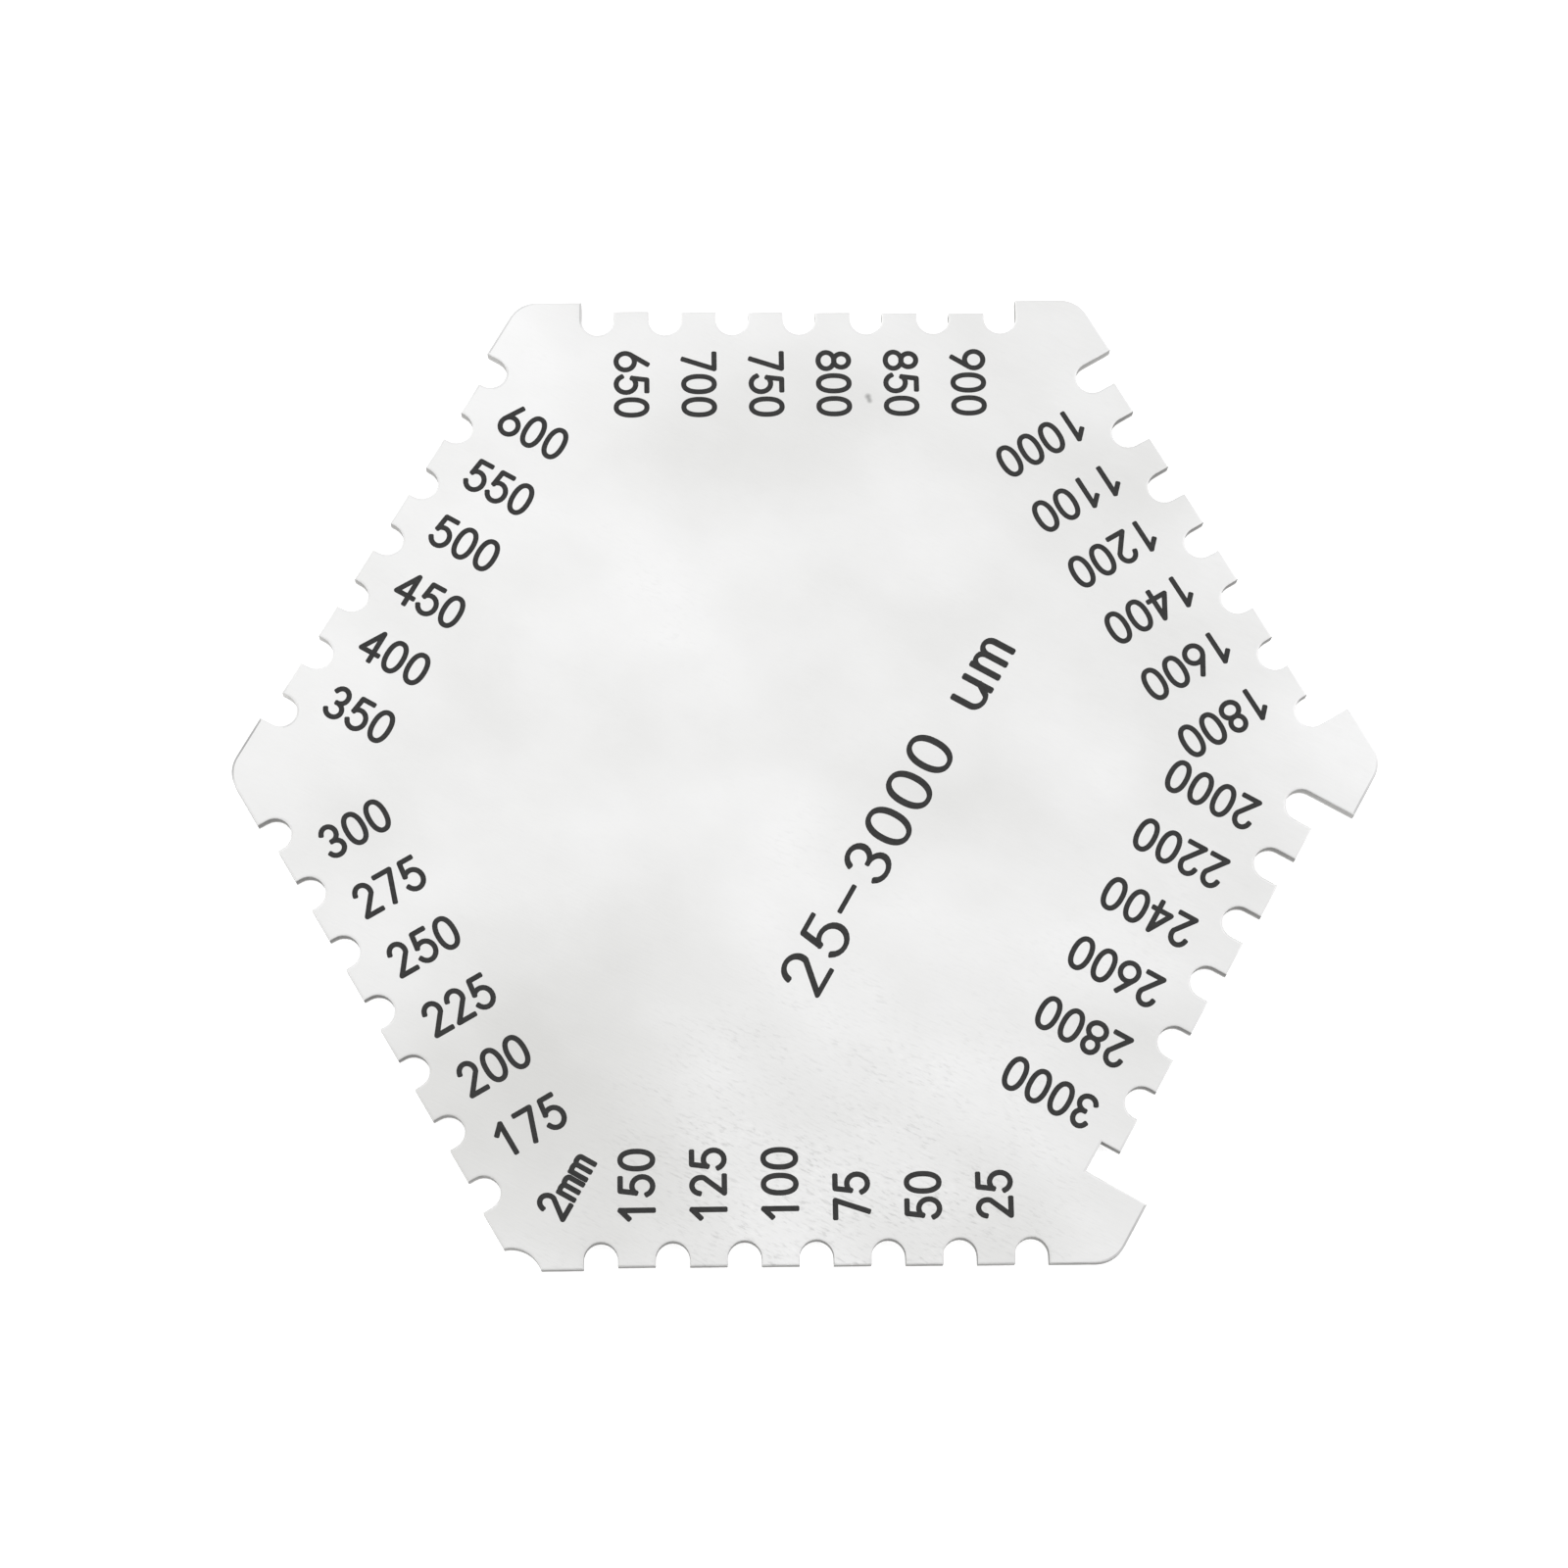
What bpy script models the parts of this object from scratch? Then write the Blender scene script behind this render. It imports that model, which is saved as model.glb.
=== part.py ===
"""Hexagonal comb gauge for wet paint film: one flat steel plate with a comb of teeth on each of its six sides.

Each side has a plain land at both ends and six teeth between them. Standing on its two lands, the gauge holds
each tooth clear of the surface by that tooth's film reading. One corner carries a hollow gauging arc.

Units are metres. The origin is the hexagon's centre on the back face, +Z points out of the marked face and +X
points at a corner, along the plate's longest extent.
"""

from math import acos, cos, degrees, radians, sin, tan

import bmesh
import bpy
from mathutils import Vector

# Plate blank
ACROSS_FLATS = 0.065
THICKNESS = 0.001
EDGE_BREAK = 0.00005

# Corners: five are rounded off, and the sixth is the hollow gauging arc
CORNER_RADIUS = 0.00205
ARC_CORNER = 240
ARC_RADIUS = 0.002
ARC_OUTSET = 0.00072

# Comb: the notch and tooth spacing is the same on every side
TOOTH_PITCH = 0.0045
NOTCH_WIDTH = 0.00214
READING_UNIT = 1e-6

# One row a side, clockwise: direction of the side's outward normal in degrees, depth of its notches below
# the lands, and the film readings of its teeth in micrometres
SIDES = (
    (90, 0.00237, (650, 700, 750, 800, 850, 900)),
    (30, 0.0032, (1000, 1100, 1200, 1400, 1600, 1800)),
    (-30, 0.00436, (2000, 2200, 2400, 2600, 2800, 3000)),
    (-90, 0.00167, (25, 50, 75, 100, 125, 150)),
    (-150, 0.00172, (175, 200, 225, 250, 275, 300)),
    (150, 0.00195, (350, 400, 450, 500, 550, 600)),
)
# The notch beside the deepest tooth is cut square, so that this tooth's land stays wide enough
SQUARE_NOTCH_READING = 3000

NOTCH_STEPS = 14
CORNER_STEPS = 8
ARC_STEPS = 14

APOTHEM = ACROSS_FLATS / 2
HALF_CORNER = 30
CORNER_REACH = APOTHEM / cos(radians(HALF_CORNER))


def clear_scene():
    for old in list(bpy.data.objects):
        bpy.data.objects.remove(old, do_unlink=True)


def polar(radius, angle):
    return Vector((radius * cos(radians(angle)), radius * sin(radians(angle))))


def arc(centre, radius, start, end, steps):
    """Points along a round stretch, both ends included; angles in degrees."""
    turn = (end - start) / steps
    return [centre + polar(radius, start + turn * i) for i in range(steps + 1)]


def notch(middle, depth, lip_before, lip_after, square):
    """One notch as (distance along the side, depth below the lands) pairs, from lip to lip."""
    half = NOTCH_WIDTH / 2
    if square:
        floor = [(middle - half, depth), (middle + half, depth)]
    else:
        centre = Vector((middle, depth - half))
        floor = [tuple(p) for p in arc(centre, half, 180, 0, NOTCH_STEPS)]
    return [(middle - half, lip_before), *floor, (middle + half, lip_after)]


def comb(depth, readings):
    """The seven notches of one side, with the teeth between them set back by their readings."""
    recess = [0.0, *(reading * READING_UNIT for reading in readings), 0.0]
    last = len(readings)
    profile = []
    for i in range(last + 1):
        middle = (i - last / 2) * TOOTH_PITCH
        square = i == last and readings[-1] == SQUARE_NOTCH_READING
        profile += notch(middle, depth, recess[i], recess[i + 1], square)
    return profile


def side_points(angle, depth, readings):
    """One side's comb in the plate's plane, walked clockwise."""
    outward = polar(1, angle)
    along = polar(1, angle - 90)
    return [outward * (APOTHEM - d) + along * s for s, d in comb(depth, readings)]


def rounded_corner(angle):
    """A corner rounded off tangent to both of its sides, walked clockwise."""
    centre = polar(CORNER_REACH - CORNER_RADIUS / cos(radians(HALF_CORNER)), angle)
    return arc(centre, CORNER_RADIUS, angle + HALF_CORNER, angle - HALF_CORNER, CORNER_STEPS)


def hollow_corner(angle):
    """The gauging arc, whose centre lies outside the sharp corner, from one side's line to the next."""
    centre = polar(CORNER_REACH + ARC_OUTSET, angle)
    outside = ARC_OUTSET * cos(radians(HALF_CORNER))
    half_sweep = degrees(acos(outside / ARC_RADIUS)) - HALF_CORNER
    inward = angle + 180
    return arc(centre, ARC_RADIUS, inward - half_sweep, inward + half_sweep, ARC_STEPS)


def plate_outline():
    """The whole edge, walked clockwise: each side's comb and the corner after it."""
    points = []
    for angle, depth, readings in SIDES:
        corner = (angle - HALF_CORNER) % 360
        points += side_points(angle, depth, readings)
        points += hollow_corner(corner) if corner == ARC_CORNER else rounded_corner(corner)
    return points


def brushed_steel():
    material = bpy.data.materials.new("brushed_steel")
    material.use_nodes = True
    shader = material.node_tree.nodes["Principled BSDF"]
    shader.inputs["Base Color"].default_value = (0.72, 0.72, 0.72, 1)
    shader.inputs["Metallic"].default_value = 1.0
    shader.inputs["Roughness"].default_value = 0.35
    return material


def gauge_plate():
    """Raises the outline to the plate's thickness and breaks the edges of both faces."""
    bm = bmesh.new()
    back_to_front = reversed(plate_outline())
    rim = [bm.verts.new((p.x, p.y, EDGE_BREAK)) for p in back_to_front]
    front = bm.faces.new(rim)
    blank = bmesh.ops.extrude_face_region(bm, geom=[front], use_keep_orig=True)
    raised = [item for item in blank["geom"] if isinstance(item, bmesh.types.BMVert)]
    bmesh.ops.translate(bm, verts=raised, vec=(0, 0, THICKNESS - 2 * EDGE_BREAK))
    bmesh.ops.recalc_face_normals(bm, faces=bm.faces)
    faces = [face for face in bm.faces if abs(face.normal.z) > 0.5]
    bmesh.ops.inset_individual(bm, faces=faces, thickness=EDGE_BREAK, depth=EDGE_BREAK, use_even_offset=True)

    mesh = bpy.data.meshes.new("gauge_plate")
    bm.to_mesh(mesh)
    bm.free()
    mesh.materials.append(brushed_steel())
    mesh.shade_smooth()
    mesh.set_sharp_from_angle(angle=radians(30))
    plate = bpy.data.objects.new("gauge_plate", mesh)
    bpy.context.collection.objects.link(plate)
    return plate


clear_scene()
gauge_plate()
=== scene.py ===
"""Finish and setting for the hexagonal wet-film comb gauge: brushed plate, cut edges and dark numerals.

The plate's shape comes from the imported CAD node, with its cut edges rounded over. The numerals are flat
marks drawn with a stroke font of this script's own: each stroke is a centreline widened by a pen.
Places on the marked face, and the camera's, are given in SPANs: seventieths of the plate's width across
flats. Everything else is in metres.
"""

from math import copysign, cos, pi, radians, sin

import bmesh
import bpy
from mathutils import Euler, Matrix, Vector
from mathutils.geometry import delaunay_2d_cdt


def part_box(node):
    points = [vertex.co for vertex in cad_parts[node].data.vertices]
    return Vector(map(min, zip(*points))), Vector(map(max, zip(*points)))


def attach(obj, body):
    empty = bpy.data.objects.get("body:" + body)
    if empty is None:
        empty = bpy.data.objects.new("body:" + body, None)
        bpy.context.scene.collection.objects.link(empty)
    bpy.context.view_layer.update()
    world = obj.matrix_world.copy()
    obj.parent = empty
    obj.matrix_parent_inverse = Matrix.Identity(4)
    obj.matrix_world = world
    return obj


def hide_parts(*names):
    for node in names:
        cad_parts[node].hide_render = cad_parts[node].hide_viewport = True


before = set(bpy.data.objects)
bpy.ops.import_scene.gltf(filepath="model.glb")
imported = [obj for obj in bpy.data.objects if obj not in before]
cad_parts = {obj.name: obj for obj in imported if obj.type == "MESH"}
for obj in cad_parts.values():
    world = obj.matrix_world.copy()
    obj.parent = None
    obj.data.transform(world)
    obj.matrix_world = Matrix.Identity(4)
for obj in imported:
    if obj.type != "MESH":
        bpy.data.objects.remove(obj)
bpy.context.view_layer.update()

PLATE_NODE = "gauge_plate"
PLATE_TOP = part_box(PLATE_NODE)[1]
APOTHEM = PLATE_TOP.y
SPAN = 2 * APOTHEM / 70

# Edge finish of the plate: shearing has drawn the marked face down a little along its outline, and both
# edges of the broken edge are rounded over. The tilts are the vertical parts of the faces' normals.
ROLL_WIDTH, ROLL_DROP = 0.00010, 0.000006
ROUND_OVER = 0.000016
ROUND_OVER_STEPS = 2
FLAT_TILT, WALL_TILT = 0.999, 0.3
SMOOTH_ANGLE = radians(34)

# Marks: they stand a little proud of the face and start just below it, so that no two faces share a plane.
# The face is let down by as much as they stand proud, which keeps them inside the plate's thickness.
MARK_RISE = 0.000006
MARK_ROOT = 0.00002
FACE_Z = PLATE_TOP.z - MARK_RISE

# The marks' layout. Every numeral is centred on its own tooth and read inward, and its first digit's centre
# lies NOTCH_GAP inside the floor of its side's notches.
TOOTH_PITCH = 0.0045 / SPAN
NOTCH_GAP = 2
DIGIT_HEIGHT, DIGIT_PEN = 2.2, 0.19
DIGIT_SPACING = 0.8 * DIGIT_HEIGHT
# Within these limits from a side's middle and from the plate's centre, only that side's own comb is found
COMB_HALF_WIDTH = 3.75 * TOOTH_PITCH
COMB_INNER_LIMIT = 0.8 * APOTHEM / SPAN

# One row a side, clockwise: direction of the side's outward normal in degrees, and the readings of its teeth
# in micrometres
TOOTH_ROWS = (
    (90, (650, 700, 750, 800, 850, 900)),
    (30, (1000, 1100, 1200, 1400, 1600, 1800)),
    (-30, (2000, 2200, 2400, 2600, 2800, 3000)),
    (-90, (25, 50, 75, 100, 125, 150)),
    (-150, (175, 200, 225, 250, 275, 300)),
    (150, (350, 400, 450, 500, 550, 600)),
)

# The marks that are read along the plate's diagonal, towards the corner at 60 degrees. The range, a blank
# cell and the unit make one line, which is centred on the plate but lies to one side of the diagonal. The
# 2 mm mark lies on the diagonal, beside the hollow arc.
DIAGONAL = 60
RANGE_LINE = -7
RANGE_HEIGHT, RANGE_STRETCH, RANGE_PEN = 3.0, 1.2, (0.25, 0.18)
RANGE_ADVANCE = RANGE_HEIGHT
RANGE_CELLS = 7
UNIT_HEIGHT, UNIT_M_PITCH, UNIT_GAP = 2.0, 1.1, 0.8
UNIT_WIDTH = UNIT_HEIGHT + UNIT_GAP + 2 * UNIT_M_PITCH
RANGE_START = -((RANGE_CELLS + 1) * RANGE_ADVANCE + UNIT_WIDTH) / 2
CORNER_REACH = APOTHEM / SPAN / cos(radians(30))
RADIUS_INSET = 5
RADIUS_HEIGHT, RADIUS_M_HEIGHT, RADIUS_M_PITCH = 2.0, 1.2, 0.6
LETTER_GAP = 0.4

# Finish of the steel. Grain runs along GRAIN_ANGLE degrees, and each scale is noise cells per SPAN along the
# grain and across it. One part of the face shows wear, so that its flecks show, and they lie in clumps.
GRAIN_ANGLE = -27
GRAIN_SCALE = (0.7, 7, 7)
FLECK_SCALE = (1.4, 4.8, 4.8)
CLUMP_SCALE = (0.32, 0.52, 0.52)
CLOUD_SCALE = (0.06, 0.084, 0.06)
WALL_LINE_SCALE = (14, 14, 0.9)
WALL_WAVER_SCALE = (1.5, 1.5, 0)
INK_SCALE = (2.5, 6, 6)
# Nearly all of a noise pattern's values lie between these two
NOISE_LOW, NOISE_HIGH = 0.3, 0.7
# How much a dark fleck dims the steel, the scratches' dark marks with painted shade on their sides, and how
# much a light one brightens it, as painted glints
DARK_FLECK, LIGHT_FLECK = 0.80, 0.06
# The bright band on the wall fades out between these shares of the plate's thickness
BURNISHED_FULL, BURNISHED_END = 0.20, 0.32
WORN_CENTRE, WORN_REACH = (1, -32), 24
# Painted sheen: spots where the face's colour is painted lighter or darker, standing in for the studio's
# reflections, and the steel's own duller patch of wear: x, y and reach, and the change of tone
DULL_PATCHES_AND_PAINTED_SHEEN = (
    (-18, -25, 21, -0.50), (11, -33, 9, -0.25), (4, -34, 7, -0.20), (17, -19, 9, -0.20), (24, -24, 10, -0.15),
    (11, -3.5, 8, -0.15), (3, -6, 7, -0.15), (10.5, 9, 9, -0.20), (-30, -5, 7, -0.18), (-2, 26, 11, -0.22),
    (16, 27, 9, -0.12), (23, 20, 9, -0.18), (25, -11, 9, -0.15), (-20, 33, 13, 0.15), (38, 1, 10, 0.15),
)
# Two touching spots of stray marking between the 800 and the 850, in the same way
SPECKS = ((4.86, 27.60, 0.36, -0.50), (4.97, 27.28, 0.30, -0.45))
# Lands whose rolled edge carries painted shade, darkening its colour where it faces the direction given below
# in degrees or the opposite way
EDGE_SHADE_SPOTS = (
    (-39.3, 2.3, 6, 0.55), (-21.6, 32.6, 7, 0.30), (-15.7, 34, 3, 0.25), (38.9, -2.7, 6, 0.30),
    (21.6, -32.7, 8, 0.35), (-28, 18, 20, 0.06),
)
EDGE_SHADE_FACING = 150
# The rolled edge is told from the flat face by the vertical part of its normal
ROLLED_TILT, LEVEL_TILT = 0.9985, 0.9995
# Stretches of wall whose colour is painted lighter or darker: painted reflections of the lit table beside
# them, and painted shade where that table lies in shadow
WALL_LIGHT_AND_SHADE = (
    (-28, 18, 26, 0.45), (-37, 6, 9, 0.80), (-21, 32, 9, 0.50), (20, 33, 8, 0.50), (38, -2, 10, 0.50),
    (24, -27, 8, -0.15), (14, -34, 6, 0.15), (-22, -29, 10, 0.20), (-29, -17, 8, -0.20),
)
STEEL_DULL, STEEL_BRIGHT = (0.620, 0.618, 0.606), (0.840, 0.840, 0.842)
EDGE_TORN, EDGE_BURNISHED = (0.115, 0.113, 0.109), (0.48, 0.475, 0.465)
INK_THICK, INK_THIN = (0.018, 0.018, 0.018), (0.038, 0.038, 0.037)

# Camera, in degrees and SPANs: it looks down at the marked face from the side of the 25 to 150 teeth
CAMERA_TILT, CAMERA_LEAN, CAMERA_TURN = 15.69, -1.48, -0.96
CAMERA_AIM = (-1.66, -1.26)
CAMERA_DISTANCE = 261.2
CAMERA_LENS = 86.0

# Studio: how bright the table glows, and the surroundings on the camera's side and elsewhere
TABLE_GLOW = 0.55
TABLE_SIZE, TABLE_GAP = 12, 0.00002
DARK_SIDE, PALE_SIDE = 0.25, 1.04
# Soft panels: name, place, diameter and power in watts
LAMPS = (
    ("key", (-0.10, 0.45, 1.45), 0.6, 0.2),
    ("left", (-0.8, 1.0, 1.1), 0.9, 1.9),
    ("right", (0.9, 0.5, 1.1), 0.9, 1.1),
)


# ---------------------------------------------------------------- stroke font

def bow(cx, cy, rx, ry, start, end, steps=14):
    """Points along a stretch of an ellipse; angles in degrees."""
    turns = [radians(start + (end - start) * i / steps) for i in range(steps + 1)]
    return [(cx + rx * cos(t), cy + ry * sin(t)) for t in turns]


def oval(cx, cy, rx, ry, power=2.0, steps=40):
    """A closed oval; a power above 2 straightens its sides."""
    points = []
    for i in range(steps):
        c, s = cos(2 * pi * i / steps), sin(2 * pi * i / steps)
        bulge = [copysign(abs(v) ** (2 / power), v) for v in (c, s)]
        points.append((cx + rx * bulge[0], cy + ry * bulge[1]))
    return points + points[:1]


def glyph_table():
    """Each digit as (width, strokes): centrelines from the baseline at 0 to the digit's height at 1."""
    six = [[(0.40, 1.02), (0.06, 0.47)], bow(0.30, 0.30, 0.29, 0.30, 150, 510, 30)]
    six_flipped = [[(0.6 - x, 1.0 - y) for x, y in stroke] for stroke in six]
    upper_bowl = bow(0.25, 0.745, 0.235, 0.255, 160, -80, 14) + [(0.225, 0.49)]
    lower_bowl = [(0.225, 0.49)] + bow(0.25, 0.245, 0.26, 0.245, 85, -160, 16)
    five_bowl = [(0.06, 0.52)] + bow(0.27, 0.32, 0.29, 0.32, 128, -155, 18)
    return {
        "0": (0.58, [oval(0.29, 0.5, 0.27, 0.5, 2.25)]),
        "1": (0.46, [[(0.01, 0.735), (0.27, 1.0)], [(0.27, 1.0), (0.27, -0.02)]]),
        "2": (0.57, [bow(0.27, 0.72, 0.25, 0.28, 170, -20, 16) + [(0.03, 0.0), (0.57, 0.0)]]),
        "3": (0.51, [upper_bowl, lower_bowl]),
        "4": (0.61, [[(0.435, -0.02), (0.435, 1.0), (0.0, 0.265), (0.61, 0.265)]]),
        "5": (0.56, [[(0.52, 1.0), (0.12, 1.0), (0.06, 0.52)], five_bowl]),
        "6": (0.60, six),
        "7": (0.54, [[(0.0, 1.0), (0.54, 1.0), (0.195, -0.02)]]),
        "8": (0.575, [oval(0.29, 0.755, 0.235, 0.245), oval(0.29, 0.26, 0.285, 0.26)]),
        "9": (0.60, six_flipped),
    }


GLYPHS = glyph_table()


def letter_u(width):
    """A lower-case u: its bowl rises into the right-hand stem."""
    bowl = [(0.0, 1.0), (0.0, 0.42)] + bow(0.40 * width, 0.36, 0.40 * width, 0.36, 180, 300, 12)
    return [bowl + [(0.86 * width, 0.42)], [(0.86 * width, 1.0), (0.86 * width, 0.0)]]


def letter_m(pitch, shoulder):
    """A lower-case m: three stems joined by two arches."""
    arches = [bow((i + 0.5) * pitch, 1 - shoulder, pitch / 2, shoulder, 180, 0, 12) for i in range(2)]
    return [[(0.0, 1.0), (0.0, 0.0)]] + [arch + [(arch[-1][0], 0.0)] for arch in arches]


def set_strokes(strokes, x, y, wide, high):
    """Scales strokes by wide and high, and moves them to x, y."""
    return [[(x + px * wide, y + py * high) for px, py in stroke] for stroke in strokes]


def set_digits(text, x, y, height, advance, stretch=1.0):
    """A row of digits whose first one is centred on x, with its baseline at y."""
    strokes = []
    for i, digit in enumerate(text):
        width, shape = GLYPHS[digit]
        wide = height * stretch
        strokes += set_strokes(shape, x + i * advance - wide * width / 2, y, wide, height)
    return strokes


# ---------------------------------------------------------------- strokes to flat regions

def pen_offset(tangent, pen):
    """From a centreline to the stroke's left edge, for an oval pen with these half widths."""
    across = Vector((-tangent.y * pen[0], tangent.x * pen[1]))
    return Vector((across.x * pen[0], across.y * pen[1])) / across.length


def split_at_corners(points):
    """The stretches of a stroke between its sharp corners."""
    runs, run = [], [points[0]]
    for before, here, after in zip(points, points[1:], points[2:]):
        run.append(here)
        if (here - before).angle(after - here) > radians(32):
            runs.append(run)
            run = [here]
    return runs + [run + [points[-1]]]


def run_tangents(run, closed):
    steps = [(b - a).normalized() for a, b in zip(run, run[1:])]
    first, last = steps[0], steps[-1]
    if closed:
        first = last = (steps[0] + steps[-1]).normalized()
    inner = [(a + b).normalized() for a, b in zip(steps, steps[1:])]
    return [first, *inner, last]


def end_cap(point, outward, pen):
    """A nearly square stroke end, with its two corners taken off."""
    side = pen_offset(outward, pen)
    reach = outward * side.length
    return [point - side, point - side + reach * 0.45, point - side * 0.62 + reach * 0.85,
            point + side * 0.62 + reach * 0.85, point + side + reach * 0.45, point + side]


def stroke_patches(stroke, pen):
    """Small anticlockwise patches that together cover one stroke."""
    points = [Vector(p) for p in stroke]
    closed = (points[0] - points[-1]).length < 1e-6
    runs = [points] if closed else split_at_corners(points)
    patches = []
    for run in runs:
        tangents = run_tangents(run, closed)
        sides = [pen_offset(t, pen) for t in tangents]
        for a, b, side_a, side_b in zip(run, run[1:], sides, sides[1:]):
            patches.append([a - side_a, b - side_b, b + side_b, a + side_a])
    patches += [[run[0] + Vector(p) for p in bow(0, 0, *pen, 0, 337.5, 15)] for run in runs[1:]]
    if not closed:
        patches.append(end_cap(points[0], (points[0] - points[1]).normalized(), pen))
        patches.append(end_cap(points[-1], (points[-1] - points[-2]).normalized(), pen))
    return patches


def united_region(strokes, pen):
    """(points, triangles) of the flat region that the strokes cover together."""
    corners, patches = [], []
    for stroke in strokes:
        for patch in stroke_patches(stroke, pen):
            patches.append(range(len(corners), len(corners) + len(patch)))
            corners += patch
    made = delaunay_2d_cdt(corners, [], patches, 0, 1e-4)
    points, triangles, covered_by = made[0], made[2], made[5]
    return points, [t for t, patch in zip(triangles, covered_by) if patch]


# ---------------------------------------------------------------- marks

def mark(name, strokes, pen, origin, angle):
    """One printed mark: a thin closed solid whose text runs along angle from origin, on the marked face."""
    points, triangles = united_region(strokes, pen)
    along = Vector((cos(radians(angle)), sin(radians(angle))))
    up = Vector((-along.y, along.x))
    bm = bmesh.new()
    placed = [Vector(origin) + along * p.x + up * p.y for p in points]
    placed = [p * SPAN for p in placed]
    top = [bm.verts.new((p.x, p.y, FACE_Z + MARK_RISE)) for p in placed]
    for triangle in triangles:
        bm.faces.new([top[i] for i in triangle])
    loose = [v for v in bm.verts if not v.link_faces]
    bmesh.ops.delete(bm, geom=loose, context="VERTS")
    skirt = bmesh.ops.extrude_face_region(bm, geom=list(bm.faces), use_keep_orig=True)
    lowered = [item for item in skirt["geom"] if isinstance(item, bmesh.types.BMVert)]
    bmesh.ops.translate(bm, verts=lowered, vec=(0, 0, -MARK_RISE - MARK_ROOT))
    bmesh.ops.recalc_face_normals(bm, faces=bm.faces)
    mesh = bpy.data.meshes.new(name)
    bm.to_mesh(mesh)
    bm.free()
    mesh.materials.append(INK)
    piece = bpy.data.objects.new(name, mesh)
    bpy.context.collection.objects.link(piece)
    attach(piece, "root")
    return piece


def notch_floor(outward, along_side):
    """How far a side's notch floors lie from the plate's centre, in SPANs, read off the CAD plate."""
    corners = [v.co.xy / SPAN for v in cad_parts[PLATE_NODE].data.vertices]
    comb = [p for p in corners if abs(p.dot(along_side)) < COMB_HALF_WIDTH]
    return min(p.dot(outward) for p in comb if p.dot(outward) > COMB_INNER_LIMIT)


def tooth_marks(angle, readings):
    """The readings of one side, each centred on its tooth and read inward from it."""
    outward = Vector((cos(radians(angle)), sin(radians(angle))))
    along_side = Vector((outward.y, -outward.x))
    middle = (len(readings) - 1) / 2
    first = notch_floor(outward, along_side) - NOTCH_GAP
    for i, reading in enumerate(readings):
        origin = outward * first + along_side * ((i - middle) * TOOTH_PITCH)
        strokes = set_digits(str(reading), 0, -DIGIT_HEIGHT / 2, DIGIT_HEIGHT, DIGIT_SPACING)
        mark(f"mark_{reading}", strokes, (DIGIT_PEN, DIGIT_PEN), origin, angle + 180)


def range_mark():
    """The gauge's whole range: 25, a dash, 3000, one cell each."""
    first = RANGE_START + RANGE_ADVANCE / 2
    baseline = RANGE_LINE - RANGE_HEIGHT / 2
    low = set_digits("25", first, baseline, RANGE_HEIGHT, RANGE_ADVANCE, RANGE_STRETCH)
    dash_x = first + 2 * RANGE_ADVANCE
    dash = [[(dash_x - RANGE_ADVANCE / 3, RANGE_LINE), (dash_x + RANGE_ADVANCE / 3, RANGE_LINE)]]
    high_start = first + 3 * RANGE_ADVANCE
    high = set_digits("3000", high_start, baseline, RANGE_HEIGHT, RANGE_ADVANCE, RANGE_STRETCH)
    mark("mark_range", low + dash + high, RANGE_PEN, (0, 0), DIAGONAL)


def unit_mark():
    """The unit, on the range's baseline, a blank cell past its last digit."""
    u_start = RANGE_START + (RANGE_CELLS + 1) * RANGE_ADVANCE
    baseline = RANGE_LINE - RANGE_HEIGHT / 2
    u = set_strokes(letter_u(1.0), u_start, baseline, UNIT_HEIGHT, UNIT_HEIGHT)
    m_start = u_start + UNIT_HEIGHT + UNIT_GAP
    m_shape = letter_m(UNIT_M_PITCH / UNIT_HEIGHT, 0.3)
    m = set_strokes(m_shape, m_start, baseline, UNIT_HEIGHT, UNIT_HEIGHT)
    mark("mark_unit", u + m, RANGE_PEN, (0, 0), DIAGONAL)


def radius_mark():
    """The size of the hollow gauging arc, on the diagonal beside its corner."""
    first = -CORNER_REACH + RADIUS_INSET
    baseline = -RADIUS_HEIGHT / 2
    strokes = set_digits("2", first, baseline, RADIUS_HEIGHT, 0)
    m_shape = letter_m(RADIUS_M_PITCH / RADIUS_M_HEIGHT, 0.15)
    m_start = first + RADIUS_HEIGHT / 2
    for i in range(2):
        x = m_start + i * (2 * RADIUS_M_PITCH + LETTER_GAP)
        strokes += set_strokes(m_shape, x, baseline, RADIUS_M_HEIGHT, RADIUS_M_HEIGHT)
    mark("mark_2mm", strokes, (DIGIT_PEN, DIGIT_PEN), (0, 0), DIAGONAL)


# ---------------------------------------------------------------- plate

def plate():
    """The CAD plate's own shape, with the broken edges rounded over so that they catch the light."""
    bm = bmesh.new()
    bm.from_mesh(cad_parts[PLATE_NODE].data)
    bmesh.ops.remove_doubles(bm, verts=bm.verts, dist=1e-6)
    bmesh.ops.dissolve_limit(bm, angle_limit=radians(0.5), verts=bm.verts, edges=bm.edges)
    roll_edge(bm)
    rims = [e for e in bm.edges if is_rim(e)]
    bmesh.ops.bevel(bm, geom=rims, offset=ROUND_OVER, segments=ROUND_OVER_STEPS, profile=0.5, affect="EDGES")
    for face in bm.faces:
        tilt = abs(face.normal.z)
        face.material_index = 0 if tilt > WALL_TILT else 1
        face.smooth = tilt < FLAT_TILT
    for edge in bm.edges:
        borders_face = any(abs(f.normal.z) > FLAT_TILT for f in edge.link_faces)
        edge.smooth = edge.calc_face_angle(pi) < SMOOTH_ANGLE and not borders_face
    mesh = bpy.data.meshes.new("plate_body")
    bm.to_mesh(mesh)
    bm.free()
    mesh.materials.append(steel_face())
    mesh.materials.append(cut_edge())
    piece = bpy.data.objects.new("plate_body", mesh)
    bpy.context.collection.objects.link(piece)
    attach(piece, "root")
    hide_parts(PLATE_NODE)
    return piece


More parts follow.
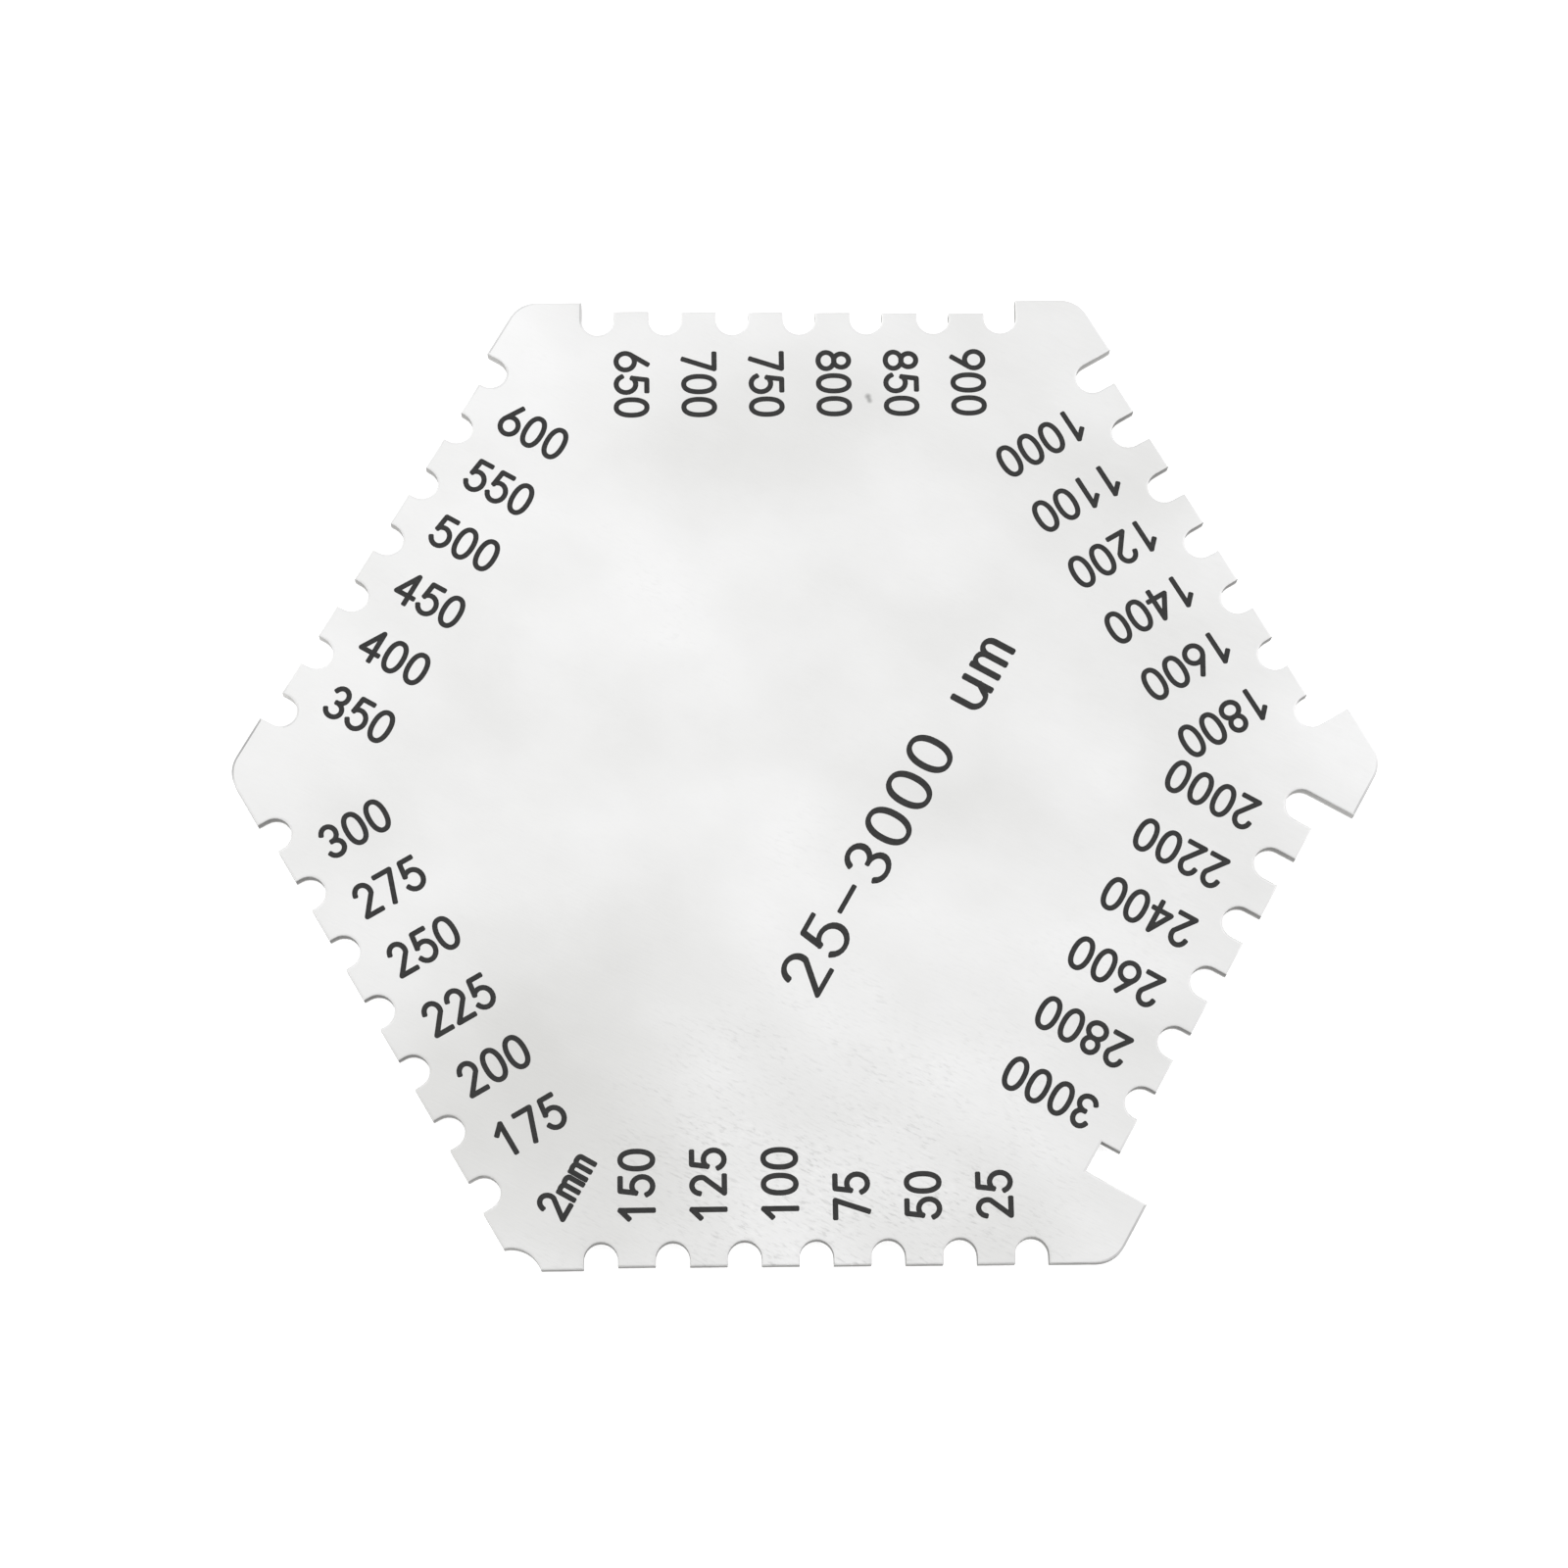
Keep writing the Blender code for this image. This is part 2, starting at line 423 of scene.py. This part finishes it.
def roll_edge(bm):
    """Lets the marked face down to FACE_Z, and its outline a little further."""
    marked = max(bm.faces, key=lambda face: face.calc_center_median().z)
    outline = list(marked.verts)
    bmesh.ops.inset_individual(bm, faces=[marked], thickness=ROLL_WIDTH, use_even_offset=True)
    bmesh.ops.translate(bm, verts=list(marked.verts), vec=(0, 0, -MARK_RISE))
    bmesh.ops.translate(bm, verts=outline, vec=(0, 0, -MARK_RISE - ROLL_DROP))


def is_rim(edge):
    """True for both edges of the broken edge, where a slanted face meets a flat or an upright one."""
    tilts = sorted(abs(f.normal.z) for f in edge.link_faces)
    return len(tilts) == 2 and tilts[1] - tilts[0] > 0.2


# ---------------------------------------------------------------- materials

def new_material(name):
    material = bpy.data.materials.new(name)
    material.use_nodes = True
    return material, material.node_tree.nodes, material.node_tree.links


def grain_coordinates(nodes, links, angle, scale):
    """Object coordinates in SPANs, turned so that X runs along the grain, then scaled per axis."""
    source = nodes.new("ShaderNodeTexCoord")
    turn = nodes.new("ShaderNodeMapping")
    turn.inputs["Rotation"].default_value = (0, 0, radians(-angle))
    links.new(source.outputs["Object"], turn.inputs["Vector"])
    stretch = nodes.new("ShaderNodeMapping")
    stretch.inputs["Scale"].default_value = Vector(scale) / SPAN
    links.new(turn.outputs["Vector"], stretch.inputs["Vector"])
    return stretch.outputs["Vector"]


def face_places(nodes, links):
    """Object coordinates in SPANs."""
    return grain_coordinates(nodes, links, 0, (1, 1, 1))


def noise(nodes, links, vector, detail, roughness=0.5):
    texture = nodes.new("ShaderNodeTexNoise")
    texture.inputs["Scale"].default_value = 1
    texture.inputs["Detail"].default_value = detail
    texture.inputs["Roughness"].default_value = roughness
    links.new(vector, texture.inputs["Vector"])
    return texture.outputs["Fac"]


def spread(nodes, links, value, low, high, to_low, to_high):
    """Maps value from low..high to to_low..to_high, clamped."""
    remap = nodes.new("ShaderNodeMapRange")
    remap.inputs["From Min"].default_value = low
    remap.inputs["From Max"].default_value = high
    remap.inputs["To Min"].default_value = to_low
    remap.inputs["To Max"].default_value = to_high
    links.new(value, remap.inputs["Value"])
    return remap.outputs["Result"]


def combine(nodes, links, operation, a, b):
    maths = nodes.new("ShaderNodeMath")
    maths.operation = operation
    links.new(a, maths.inputs[0])
    if isinstance(b, (int, float)):
        maths.inputs[1].default_value = b
    else:
        links.new(b, maths.inputs[1])
    return maths.outputs["Value"]


def vector_maths(nodes, links, operation, a, b=(0, 0, 0)):
    """The result of one vector operation: a number for a dot product, and a vector otherwise."""
    maths = nodes.new("ShaderNodeVectorMath")
    maths.operation = operation
    maths.inputs[1].default_value = b
    links.new(a, maths.inputs[0])
    return maths.outputs["Value" if operation == "DOT_PRODUCT" else "Vector"]


def unit_vector(angle):
    return Vector((cos(radians(angle)), sin(radians(angle)), 0))


def tint(nodes, links, factor, dark, bright):
    ramp = nodes.new("ShaderNodeValToRGB")
    ramp.color_ramp.elements[0].color = (*dark, 1)
    ramp.color_ramp.elements[1].color = (*bright, 1)
    links.new(factor, ramp.inputs["Fac"])
    return ramp.outputs["Color"]


def bump(nodes, links, height, strength, distance):
    node = nodes.new("ShaderNodeBump")
    node.inputs["Strength"].default_value = strength
    node.inputs["Distance"].default_value = distance
    links.new(height, node.inputs["Height"])
    return node.outputs["Normal"]


def near(nodes, links, place, centre, reach, amount):
    """amount at a point of the marked face, easing off to 0 at reach from it."""
    distance = nodes.new("ShaderNodeVectorMath")
    distance.operation = "DISTANCE"
    distance.inputs[1].default_value = (*centre, FACE_Z / SPAN)
    links.new(place, distance.inputs[0])
    eased = nodes.new("ShaderNodeMapRange")
    eased.interpolation_type = "SMOOTHSTEP"
    eased.inputs["From Max"].default_value = reach
    eased.inputs["To Min"].default_value = amount
    eased.inputs["To Max"].default_value = 0
    links.new(distance.outputs["Value"], eased.inputs["Value"])
    return eased.outputs["Result"]


def with_spots(nodes, links, value, place, spots):
    """value, changed by each spot's amount around its place on the marked face."""
    for x, y, reach, amount in spots:
        value = combine(nodes, links, "ADD", value, near(nodes, links, place, (x, y), reach, amount))
    return value


def scaled(nodes, links, colour, factor):
    product = nodes.new("ShaderNodeVectorMath")
    product.operation = "SCALE"
    links.new(colour, product.inputs[0])
    links.new(factor, product.inputs["Scale"])
    return product.outputs["Vector"]


def fleck_pattern(nodes, links, place, clouds):
    """(dark flecks, light flecks), each 0 to 1: short scratches in clumps, strongest on the patch of wear;
    the dark ones carry painted shade and the light ones painted glints.
    """
    flecks = noise(nodes, links, grain_coordinates(nodes, links, GRAIN_ANGLE, FLECK_SCALE), 2, 0.6)
    clumps = noise(nodes, links, grain_coordinates(nodes, links, GRAIN_ANGLE, CLUMP_SCALE), 2)
    wobble = combine(nodes, links, "SUBTRACT", clouds, 0.5)
    patch_strength = combine(nodes, links, "ADD", near(nodes, links, place, WORN_CENTRE, WORN_REACH, 1), wobble)
    patch_strength = spread(nodes, links, patch_strength, 0.05, 0.85, 0.06, 1)
    shown = combine(nodes, links, "MULTIPLY", patch_strength, spread(nodes, links, clumps, 0.42, 0.62, 0.3, 1))
    dark = combine(nodes, links, "MULTIPLY", spread(nodes, links, flecks, 0.54, 0.70, 0, 1), shown)
    light = combine(nodes, links, "MULTIPLY", spread(nodes, links, flecks, 0.44, 0.30, 0, 1), shown)
    return dark, light


def worn_edge(nodes, links, place):
    """0 on the flat faces, and up to 1 on those parts of the rolled edge that the table of edge spots names:
    painted shade, which darkens the edge's colour where it faces along one direction.
    """
    normal = nodes.new("ShaderNodeNewGeometry").outputs["True Normal"]
    parts = nodes.new("ShaderNodeSeparateXYZ")
    links.new(normal, parts.inputs["Vector"])
    slanted = spread(nodes, links, parts.outputs["Z"], ROLLED_TILT, LEVEL_TILT, 1, 0)
    sideways = vector_maths(nodes, links, "MULTIPLY", normal, (1, 1, 0))
    sideways = vector_maths(nodes, links, "NORMALIZE", sideways)
    facing = vector_maths(nodes, links, "DOT_PRODUCT", sideways, unit_vector(EDGE_SHADE_FACING))
    facing = combine(nodes, links, "ABSOLUTE", facing, 0)
    slanted = combine(nodes, links, "MULTIPLY", slanted, spread(nodes, links, facing, 0.5, 0.87, 0, 1))
    no_edge_shade = nodes.new("ShaderNodeValue").outputs["Value"]
    no_edge_shade.default_value = 0
    patch_strength = with_spots(nodes, links, no_edge_shade, place, EDGE_SHADE_SPOTS)
    return combine(nodes, links, "MULTIPLY", slanted, patch_strength)


def steel_face():
    """Cold-rolled stainless sheet: fine one-way grain, cloudy tone, faint stains and a flecked patch, with
    painted sheen, painted glints and shade on the flecks, and painted shade on parts of the rolled edge.
    """
    material, nodes, links = new_material("steel_face")
    shader = nodes["Principled BSDF"]
    shader.inputs["Metallic"].default_value = 1.0
    grain = noise(nodes, links, grain_coordinates(nodes, links, GRAIN_ANGLE, GRAIN_SCALE), 4, 0.6)
    clouds = noise(nodes, links, grain_coordinates(nodes, links, GRAIN_ANGLE, CLOUD_SCALE), 4)
    place = face_places(nodes, links)
    # Random clouds of tone, with the painted sheen and the duller patch of wear added
    tone = with_spots(nodes, links, spread(nodes, links, clouds, 0.32, 0.68, 0.40, 0.80), place, DULL_PATCHES_AND_PAINTED_SHEEN)
    streaks = spread(nodes, links, grain, NOISE_LOW, NOISE_HIGH, -0.03, 0.03)
    tone = combine(nodes, links, "ADD", tone, streaks)
    dark, light = fleck_pattern(nodes, links, place, clouds)
    # Painted shade and painted glints on the flecks, and the stray specks, as a multiplier of the colour
    shade = with_spots(nodes, links, spread(nodes, links, dark, 0, 1, 1, DARK_FLECK), place, SPECKS)
    shade = combine(nodes, links, "ADD", shade, combine(nodes, links, "MULTIPLY", light, LIGHT_FLECK))
    # Painted shade on parts of the rolled edge, darkening their colour
    shade = combine(nodes, links, "SUBTRACT", shade, worn_edge(nodes, links, place))
    colour = tint(nodes, links, tone, STEEL_DULL, STEEL_BRIGHT)
    links.new(scaled(nodes, links, colour, shade), shader.inputs["Base Color"])
    links.new(spread(nodes, links, grain, NOISE_LOW, NOISE_HIGH, 0.28, 0.36), shader.inputs["Roughness"])
    relief = combine(nodes, links, "SUBTRACT", grain, combine(nodes, links, "MULTIPLY", dark, 2.0))
    links.new(bump(nodes, links, relief, 0.3, 0.00002), shader.inputs["Normal"])
    return material


def cut_edge():
    """The sheared wall: a dull torn band with fine upright lines, over a bright one beside the back face, and
    painted light and shade on stretches of it.
    """
    material, nodes, links = new_material("cut_edge")
    shader = nodes["Principled BSDF"]
    shader.inputs["Metallic"].default_value = 1.0
    lines = noise(nodes, links, grain_coordinates(nodes, links, 0, WALL_LINE_SCALE), 2)
    waver = noise(nodes, links, grain_coordinates(nodes, links, 0, WALL_WAVER_SCALE), 2)
    height = nodes.new("ShaderNodeSeparateXYZ")
    links.new(grain_coordinates(nodes, links, 0, (1, 1, SPAN / FACE_Z)), height.inputs["Vector"])
    waver = spread(nodes, links, waver, NOISE_LOW, NOISE_HIGH, -0.06, 0.06)
    level = combine(nodes, links, "ADD", height.outputs["Z"], waver)
    burnished = spread(nodes, links, level, BURNISHED_FULL, BURNISHED_END, 0.85, 0)
    place = face_places(nodes, links)
    torn = spread(nodes, links, lines, NOISE_LOW, NOISE_HIGH, 0, 0.3)
    # Painted light and shade on stretches of the wall
    tone = with_spots(nodes, links, torn, place, WALL_LIGHT_AND_SHADE)
    tone = combine(nodes, links, "ADD", tone, burnished)
    links.new(tint(nodes, links, tone, EDGE_TORN, EDGE_BURNISHED), shader.inputs["Base Color"])
    links.new(spread(nodes, links, lines, NOISE_LOW, NOISE_HIGH, 0.38, 0.55), shader.inputs["Roughness"])
    links.new(bump(nodes, links, lines, 0.3, 0.00001), shader.inputs["Normal"])
    return material


def ink():
    """The dark marking: matt, a little uneven in density."""
    material, nodes, links = new_material("dark_marking")
    shader = nodes["Principled BSDF"]
    shader.inputs["Specular IOR Level"].default_value = 0.25
    cover = noise(nodes, links, grain_coordinates(nodes, links, GRAIN_ANGLE, INK_SCALE), 3, 0.6)
    density = spread(nodes, links, cover, NOISE_LOW, NOISE_HIGH, 0, 1)
    links.new(tint(nodes, links, density, INK_THICK, INK_THIN), shader.inputs["Base Color"])
    links.new(spread(nodes, links, cover, NOISE_LOW, NOISE_HIGH, 0.5, 0.7), shader.inputs["Roughness"])
    links.new(bump(nodes, links, cover, 0.2, 0.00001), shader.inputs["Normal"])
    return material


# ---------------------------------------------------------------- setting

def floor():
    """A plain white table under the gauge, which glows faintly so that the thin plate throws no shadow.

    It is see-through from underneath, so that the gauge's back face can be looked at as well.
    """
    material, nodes, links = new_material("white_table")
    shader = nodes["Principled BSDF"]
    shader.inputs["Base Color"].default_value = (0.9, 0.9, 0.9, 1)
    shader.inputs["Roughness"].default_value = 0.9
    shader.inputs["Specular IOR Level"].default_value = 0.0
    shader.inputs["Emission Color"].default_value = (1, 1, 1, 1)
    shader.inputs["Emission Strength"].default_value = TABLE_GLOW
    underneath = nodes.new("ShaderNodeNewGeometry").outputs["Backfacing"]
    links.new(spread(nodes, links, underneath, 0, 1, 1, 0), shader.inputs["Alpha"])
    bpy.ops.mesh.primitive_plane_add(size=TABLE_SIZE, location=(TABLE_SIZE / 4, 0, -TABLE_GAP))
    table = bpy.context.object
    table.name = "table"
    table.data.materials.append(material)


def area_light(name, place, size, power):
    """A soft panel that faces the gauge."""
    data = bpy.data.lights.new(name, "AREA")
    data.shape = "DISK"
    data.size = size
    data.energy = power
    lamp = bpy.data.objects.new(name, data)
    lamp.location = place
    lamp.rotation_mode = "QUATERNION"
    lamp.rotation_quaternion = (-Vector(place)).to_track_quat("-Z", "Y")
    bpy.context.collection.objects.link(lamp)


def studio_walls():
    """Pale surroundings that darken towards the camera's side, which the edges on that side mirror."""
    world = bpy.data.worlds.new("studio")
    bpy.context.scene.world = world
    world.use_nodes = True
    nodes, links = world.node_tree.nodes, world.node_tree.links
    direction = nodes.new("ShaderNodeTexCoord").outputs["Generated"]
    parts = nodes.new("ShaderNodeSeparateXYZ")
    links.new(direction, parts.inputs["Vector"])
    level = spread(nodes, links, parts.outputs["Y"], -0.95, -0.50, DARK_SIDE, PALE_SIDE)
    seen = nodes.new("ShaderNodeLightPath").outputs["Is Camera Ray"]
    level = combine(nodes, links, "MAXIMUM", level, seen)
    nodes["Background"].inputs["Color"].default_value = (1, 1, 1, 1)
    links.new(level, nodes["Background"].inputs["Strength"])


def lights():
    studio_walls()
    for name, place, size, power in LAMPS:
        area_light(name, place, size, power)


def camera():
    data = bpy.data.cameras.new("camera")
    data.lens = CAMERA_LENS
    data.sensor_width = 36
    data.clip_start = 0.01
    view = bpy.data.objects.new("camera", data)
    turns = Euler([radians(a) for a in (CAMERA_TILT, CAMERA_LEAN, CAMERA_TURN)])
    view.rotation_euler = turns
    back = turns.to_matrix() @ Vector((0, 0, 1))
    view.location = Vector((*CAMERA_AIM, FACE_Z / SPAN)) * SPAN + back * CAMERA_DISTANCE * SPAN
    bpy.context.collection.objects.link(view)
    bpy.context.scene.camera = view


plate()
INK = ink()
for angle, readings in TOOTH_ROWS:
    tooth_marks(angle, readings)
range_mark()
unit_mark()
radius_mark()
floor()
lights()
camera()
bpy.context.scene.view_settings.view_transform = "Standard"
